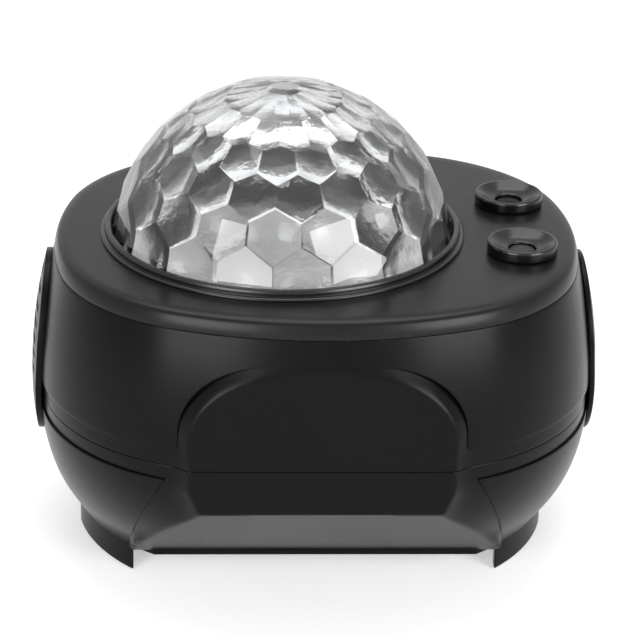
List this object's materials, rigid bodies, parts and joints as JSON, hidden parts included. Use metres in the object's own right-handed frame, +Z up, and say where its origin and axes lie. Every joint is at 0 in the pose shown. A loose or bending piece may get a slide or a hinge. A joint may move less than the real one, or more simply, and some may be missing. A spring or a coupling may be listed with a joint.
{
  "type": "star projector",
  "caption": "Rounded black star and water-light projector with a faceted clear dome, laser lenses, a side speaker grille, side skirts for feet and rear sockets.",
  "frame": {"origin": "centre of the footprint on the surface that the skirts stand on", "axes": "+Z up, -Y out of the front facet, +X to the right seen from the front"},
  "size_m": [0.1686, 0.1444, 0.142],
  "materials": {
    "housing_black": "satin",
    "deck_black": "satin",
    "trim_black": "gloss",
    "grille_black": "matte",
    "dome_clear": "clear, faceted",
    "dark_glass": "dark, clear",
    "pale_glass": "clear",
    "ripple_clear": "clear, rippled",
    "film_clear": "fine grating",
    "gear_white": "satin",
    "frame_grey": "satin",
    "steel": "satin",
    "alloy": "satin",
    "laser_brass": "satin",
    "board_green": "satin",
    "chip_black": "satin",
    "led_yellow": "satin",
    "cone_black": "matte"
  },
  "bodies": {
    "housing": {"arched_shell": "housing_black", "upper_housing": "housing_black", "lower_housing": "housing_black", "left_skirt": "housing_black", "right_skirt": "housing_black", "top_cover": "deck_black", "base_cover": "housing_black", "speaker_grille": "grille_black", "right_side_plate": "grille_black", "faceted_dome": "dome_clear", "dome_ring": "trim_black", "front_lens_bezel": "trim_black", "rear_lens_bezel": "trim_black", "front_lens_window": "pale_glass", "rear_lens_window": "dark_glass", "speaker_frame": "steel", "speaker_cone": "cone_black", "speaker_magnet": "steel", "chassis_plate": "frame_grey", "led_board": "board_green", "led_chips": "led_yellow", "led_lens_caps": "pale_glass", "heat_sink": "alloy", "ripple_pin": "steel", "idler_pin": "steel", "centre_pin": "steel", "retaining_clips": "steel", "drive_motor": "steel", "front_laser_holder": "alloy", "rear_laser_holder": "alloy", "front_laser_module": "laser_brass", "rear_laser_module": "laser_brass", "main_board": "board_green", "board_parts": "chip_black", "touch_key_board": "board_green", "port_board": "board_green", "power_inlet": "chip_black", "usb_socket": "steel", "usb_tongue": "chip_black", "power_switch": "chip_black", "housing_screws": "steel", "chassis_screws": "steel", "dome_screws": "steel", "base_cover_screws": "steel", "board_screws": "steel"},
    "ripple_wheel": {"ripple_gear_rim": "gear_white", "ripple_disc": "ripple_clear"},
    "motor_rotor": {"motor_pinion": "laser_brass", "motor_shaft": "steel"},
    "idler": {"idler_gear": "gear_white"},
    "lens_gear": {"centre_gear": "gear_white"},
    "front_grating": {"front_grating_wheel": "gear_white", "front_grating_film": "film_clear"},
    "rear_grating": {"rear_grating_wheel": "gear_white", "rear_grating_film": "film_clear"},
    "button": {"power_button": "trim_black"}
  },
  "joints": [
    {"name": "ripple_spin", "type": "hinge", "parent": "housing", "child": "ripple_wheel", "pos_m": [-0.0101, -0.0027, 0.0868], "axis": [0, 0, 1], "continuous": true},
    {"name": "pinion_spin", "type": "hinge", "parent": "housing", "child": "motor_rotor", "pos_m": [0.03065, -0.00063, 0.0868], "axis": [0, 0, 1], "continuous": true},
    {"name": "idler_spin", "type": "hinge", "parent": "housing", "child": "idler", "pos_m": [0.04213, 0.00286, 0.0868], "axis": [0, 0, 1], "continuous": true},
    {"name": "lens_gear_spin", "type": "hinge", "parent": "housing", "child": "lens_gear", "pos_m": [0.0588, 0.0008, 0.0868], "axis": [0, 0, 1], "continuous": true},
    {"name": "front_grating_spin", "type": "hinge", "parent": "housing", "child": "front_grating", "pos_m": [0.0588, -0.0184, 0.0868], "axis": [0, 0, 1], "continuous": true},
    {"name": "rear_grating_spin", "type": "hinge", "parent": "housing", "child": "rear_grating", "pos_m": [0.0588, 0.02, 0.0868], "axis": [0, 0, 1], "continuous": true},
    {"name": "power_button_press", "type": "slide", "parent": "housing", "child": "button", "axis": [0, -1, 0], "range_m": [0, 0.0008], "stiffness_N_per_m": 400}
  ],
  "couplings": [
    {"joint": "pinion_spin", "follows": "ripple_spin", "ratio": -7.5},
    {"joint": "idler_spin", "follows": "ripple_spin", "ratio": 5},
    {"joint": "lens_gear_spin", "follows": "ripple_spin", "ratio": -3.75},
    {"joint": "front_grating_spin", "follows": "ripple_spin", "ratio": 3.75},
    {"joint": "rear_grating_spin", "follows": "ripple_spin", "ratio": 3.75}
  ]
}
